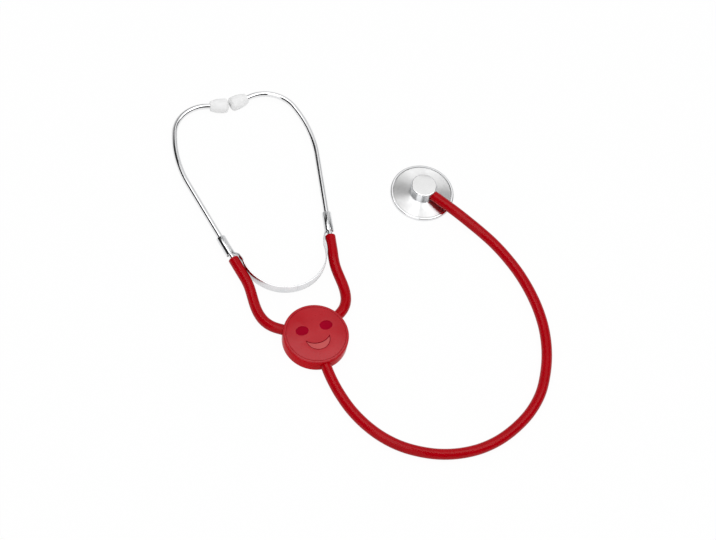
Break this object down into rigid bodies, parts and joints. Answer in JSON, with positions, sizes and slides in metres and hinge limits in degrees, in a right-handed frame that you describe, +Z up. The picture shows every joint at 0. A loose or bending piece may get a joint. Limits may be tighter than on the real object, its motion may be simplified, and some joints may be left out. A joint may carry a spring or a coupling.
{
  "type": "toy stethoscope",
  "caption": "Toy stethoscope: round smiling junction, red hoses, chromed ear tubes on a U spring, pale ear tips and a flat metal chestpiece, lying flat.",
  "frame": {"origin": "on the table under the middle of the round junction", "axes": "+Z up, +Y along the middle line of the ear tubes towards the ear tips, +X towards the chestpiece"},
  "size_m": [0.211, 0.3118, 0.012],
  "materials": {
    "junction_plastic": "glossy moulded",
    "fitting_plastic": "moulded",
    "hose_pvc": "glossy extruded soft PVC",
    "spring_steel": "rolled, bright",
    "clip_chrome": "polished",
    "tube_chrome": "polished",
    "ear_tip_plastic": "frosted, slightly translucent",
    "chest_aluminium": "turned and polished",
    "stem_metal": "turned",
    "ring_chrome": "polished",
    "diaphragm_plastic": "thin milky sheet"
  },
  "bodies": {
    "junction": {"junction_cup": "junction_plastic", "junction_cap": "junction_plastic", "hose_manifold": "fitting_plastic", "long_hose": "hose_pvc", "left_short_hose": "hose_pvc", "right_short_hose": "hose_pvc", "leaf_spring": "spring_steel", "chest_body": "chest_aluminium", "chest_stem": "stem_metal", "retaining_ring": "ring_chrome", "diaphragm": "diaphragm_plastic"},
    "left_clip_body": {"left_clip": "clip_chrome"},
    "left_tube_body": {"left_ear_tube": "tube_chrome", "left_ear_tip": "ear_tip_plastic"},
    "right_clip_body": {"right_clip": "clip_chrome"},
    "right_tube_body": {"right_ear_tube": "tube_chrome", "right_ear_tip": "ear_tip_plastic"}
  },
  "joints": [
    {"name": "left_spread", "type": "hinge", "parent": "junction", "child": "left_clip_body", "pos_m": [-0.019, 0.05, 0.0052], "axis": [0, 0, 1], "range_deg": [0, 28], "stiffness_Nm_per_rad": 0.6, "springref_deg": -2.86, "deforming": ["leaf_spring", "left_short_hose"]},
    {"name": "right_spread", "type": "hinge", "parent": "junction", "child": "right_clip_body", "pos_m": [0.019, 0.05, 0.0052], "axis": [0, 0, -1], "range_deg": [0, 28], "stiffness_Nm_per_rad": 0.6, "springref_deg": -2.86, "deforming": ["leaf_spring", "right_short_hose"]},
    {"name": "left_tube_turn", "type": "hinge", "parent": "left_clip_body", "child": "left_tube_body", "pos_m": [-0.0352, 0.0725, 0.0052], "axis": [0.1843, -0.9829, 0], "range_deg": [-15, 15]},
    {"name": "right_tube_turn", "type": "hinge", "parent": "right_clip_body", "child": "right_tube_body", "pos_m": [0.0352, 0.0725, 0.0052], "axis": [0.1843, 0.9829, 0], "range_deg": [-15, 15]}
  ]
}
